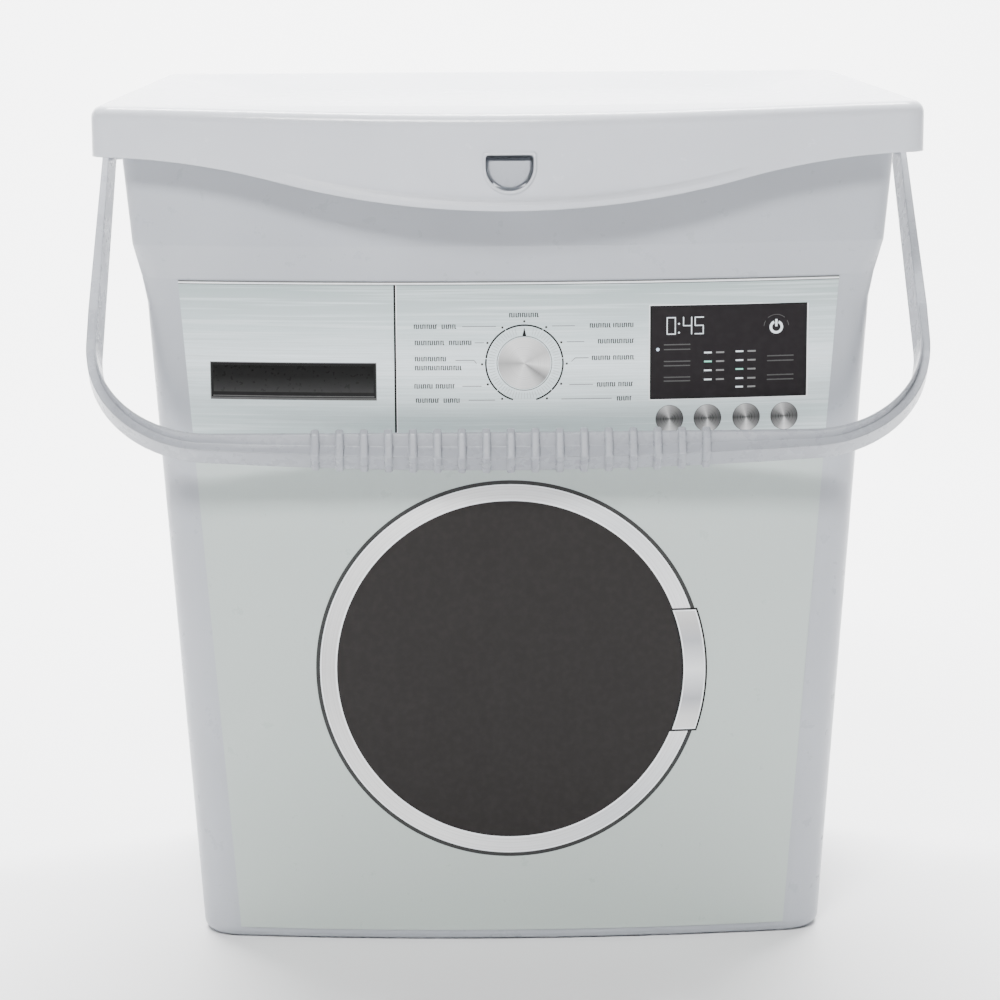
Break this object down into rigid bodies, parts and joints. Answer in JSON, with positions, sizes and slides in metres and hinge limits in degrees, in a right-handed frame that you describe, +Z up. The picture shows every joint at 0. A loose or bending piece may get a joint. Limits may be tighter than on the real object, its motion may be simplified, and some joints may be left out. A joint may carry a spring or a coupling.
{
  "type": "laundry powder storage box",
  "caption": "Tapered plastic storage box with a hinged lid, a press latch, a swinging bail handle and a printed front film.",
  "frame": {"origin": "underside of the base, midway between the lid's front corners and its back edge", "axes": "+Z up, -Y towards the printed front, +X to the right seen from the front"},
  "size_m": [0.3138, 0.2108, 0.3166],
  "materials": {
    "grey_plastic": "satin moulded polypropylene",
    "lid_plastic": "satin moulded polypropylene",
    "handle_plastic": "satin moulded polypropylene",
    "printed_film": "printed semi-gloss film"
  },
  "bodies": {
    "tub": {"tub": "grey_plastic", "front_label": "printed_film", "hinge_pin_left": "grey_plastic", "hinge_pin_right": "grey_plastic", "pivot_stud_left": "grey_plastic", "pivot_stud_right": "grey_plastic"},
    "lid": {"lid": "lid_plastic"},
    "bail": {"bail_handle": "handle_plastic"},
    "latch": {"latch_tongue": "grey_plastic"}
  },
  "joints": [
    {"name": "lid_hinge", "type": "hinge", "parent": "tub", "child": "lid", "pos_m": [0, 0.092, 0.305], "axis": [-1, 0, 0], "range_deg": [0, 105]},
    {"name": "bail_swing", "type": "hinge", "parent": "tub", "child": "bail", "pos_m": [0, 0, 0.2936], "axis": [-1, 0, 0], "range_deg": [0, 270]},
    {"name": "latch_press", "type": "hinge", "parent": "tub", "child": "latch", "pos_m": [0, -0.1056, 0.283], "axis": [-1, 0, 0], "range_deg": [0, 12], "stiffness_Nm_per_rad": 0.25}
  ]
}
